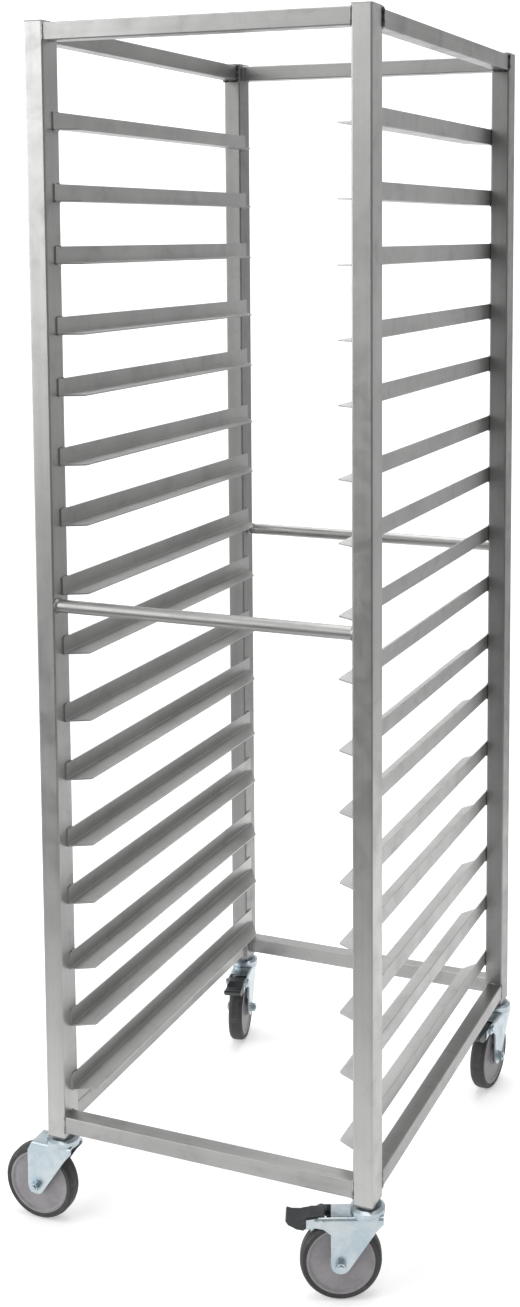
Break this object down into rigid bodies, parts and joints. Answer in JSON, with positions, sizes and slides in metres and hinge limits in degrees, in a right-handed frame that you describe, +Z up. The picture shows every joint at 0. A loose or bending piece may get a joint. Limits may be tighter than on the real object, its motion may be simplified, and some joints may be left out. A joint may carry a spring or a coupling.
{
  "type": "sheet pan rack",
  "caption": "Tall open aluminium rack on swivel casters with paired angle runners that carry sheet pans slid in from either end.",
  "frame": {"origin": "on the floor, under the centre of the post frame", "axes": "+Z up, -Y towards the front that pans enter, +X to the right seen from the front"},
  "size_m": [0.6175, 0.7296, 1.796],
  "materials": {
    "frame_aluminium": "satin mill finish",
    "runner_aluminium": "satin mill finish",
    "cap_grey": "moulded",
    "dark_steel": "plain",
    "zinc_plate": "bright zinc plated",
    "ball_steel": "polished",
    "wheel_grey": "moulded",
    "tread_rubber": "moulded",
    "pedal_black": "moulded"
  },
  "bodies": {
    "frame": {"post_front_left": "frame_aluminium", "post_front_right": "frame_aluminium", "post_rear_left": "frame_aluminium", "post_rear_right": "frame_aluminium", "post_caps": "cap_grey", "top_rail_front": "frame_aluminium", "top_rail_rear": "frame_aluminium", "top_rail_left": "frame_aluminium", "top_rail_right": "frame_aluminium", "mid_tube_front": "frame_aluminium", "mid_tube_rear": "frame_aluminium", "bottom_rail_front": "frame_aluminium", "bottom_rail_rear": "frame_aluminium", "bottom_rail_left": "frame_aluminium", "bottom_rail_right": "frame_aluminium", "runner_pair_01": "runner_aluminium", "runner_pair_02": "runner_aluminium", "runner_pair_03": "runner_aluminium", "runner_pair_04": "runner_aluminium", "runner_pair_05": "runner_aluminium", "runner_pair_06": "runner_aluminium", "runner_pair_07": "runner_aluminium", "runner_pair_08": "runner_aluminium", "runner_pair_09": "runner_aluminium", "runner_pair_10": "runner_aluminium", "runner_pair_11": "runner_aluminium", "runner_pair_12": "runner_aluminium", "runner_pair_13": "runner_aluminium", "runner_pair_14": "runner_aluminium", "runner_pair_15": "runner_aluminium", "runner_pair_16": "runner_aluminium", "caster_sockets": "dark_steel", "caster_stems": "zinc_plate", "caster_balls": "ball_steel"},
    "swivel_fl": {"caster_fork_front_left": "zinc_plate", "caster_axle_front_left": "zinc_plate"},
    "wheel_fl": {"wheel_core_front_left": "wheel_grey", "tyre_front_left": "tread_rubber"},
    "swivel_fr": {"caster_fork_front_right": "zinc_plate", "caster_axle_front_right": "zinc_plate", "pedal_pin_front_right": "zinc_plate"},
    "wheel_fr": {"wheel_core_front_right": "wheel_grey", "tyre_front_right": "tread_rubber"},
    "brake_fr": {"brake_lever_front_right": "zinc_plate", "brake_pedal_front_right": "pedal_black"},
    "swivel_rl": {"caster_fork_rear_left": "zinc_plate", "caster_axle_rear_left": "zinc_plate", "pedal_pin_rear_left": "zinc_plate"},
    "wheel_rl": {"wheel_core_rear_left": "wheel_grey", "tyre_rear_left": "tread_rubber"},
    "brake_rl": {"brake_lever_rear_left": "zinc_plate", "brake_pedal_rear_left": "pedal_black"},
    "swivel_rr": {"caster_fork_rear_right": "zinc_plate", "caster_axle_rear_right": "zinc_plate", "pedal_pin_rear_right": "zinc_plate"},
    "wheel_rr": {"wheel_core_rear_right": "wheel_grey", "tyre_rear_right": "tread_rubber"},
    "brake_rr": {"brake_lever_rear_right": "zinc_plate", "brake_pedal_rear_right": "pedal_black"}
  },
  "joints": [
    {"name": "caster_swivel_fl", "type": "hinge", "parent": "frame", "child": "swivel_fl", "pos_m": [-0.247, -0.323, 0.13], "axis": [0, 0, 1], "continuous": true},
    {"name": "wheel_spin_fl", "type": "hinge", "parent": "swivel_fl", "child": "wheel_fl", "pos_m": [-0.285, -0.32333, 0.058], "axis": [0.0087, -1, 0], "continuous": true},
    {"name": "caster_swivel_fr", "type": "hinge", "parent": "frame", "child": "swivel_fr", "pos_m": [0.247, -0.323, 0.13], "axis": [0, 0, 1], "continuous": true},
    {"name": "wheel_spin_fr", "type": "hinge", "parent": "swivel_fr", "child": "wheel_fr", "pos_m": [0.21177, -0.33724, 0.058], "axis": [0.3746, -0.9272, 0], "continuous": true},
    {"name": "brake_pedal_fr", "type": "hinge", "parent": "swivel_fr", "child": "brake_fr", "pos_m": [0.18581, -0.34772, 0.12], "axis": [0.3746, -0.9272, 0], "range_deg": [0, 12]},
    {"name": "caster_swivel_rl", "type": "hinge", "parent": "frame", "child": "swivel_rl", "pos_m": [-0.247, 0.323, 0.13], "axis": [0, 0, 1], "continuous": true},
    {"name": "wheel_spin_rl", "type": "hinge", "parent": "swivel_rl", "child": "wheel_rl", "pos_m": [-0.23781, 0.28613, 0.058], "axis": [0.9703, 0.2419, 0], "continuous": true},
    {"name": "brake_pedal_rl", "type": "hinge", "parent": "swivel_rl", "child": "brake_rl", "pos_m": [-0.23103, 0.25896, 0.12], "axis": [0.9703, 0.2419, 0], "range_deg": [0, 12]},
    {"name": "caster_swivel_rr", "type": "hinge", "parent": "frame", "child": "swivel_rr", "pos_m": [0.247, 0.323, 0.13], "axis": [0, 0, 1], "continuous": true},
    {"name": "wheel_spin_rr", "type": "hinge", "parent": "swivel_rr", "child": "wheel_rr", "pos_m": [0.24369, 0.28514, 0.058], "axis": [0.9962, -0.0872, 0], "continuous": true},
    {"name": "brake_pedal_rr", "type": "hinge", "parent": "swivel_rr", "child": "brake_rr", "pos_m": [0.24125, 0.25725, 0.12], "axis": [0.9962, -0.0872, 0], "range_deg": [0, 12]}
  ]
}
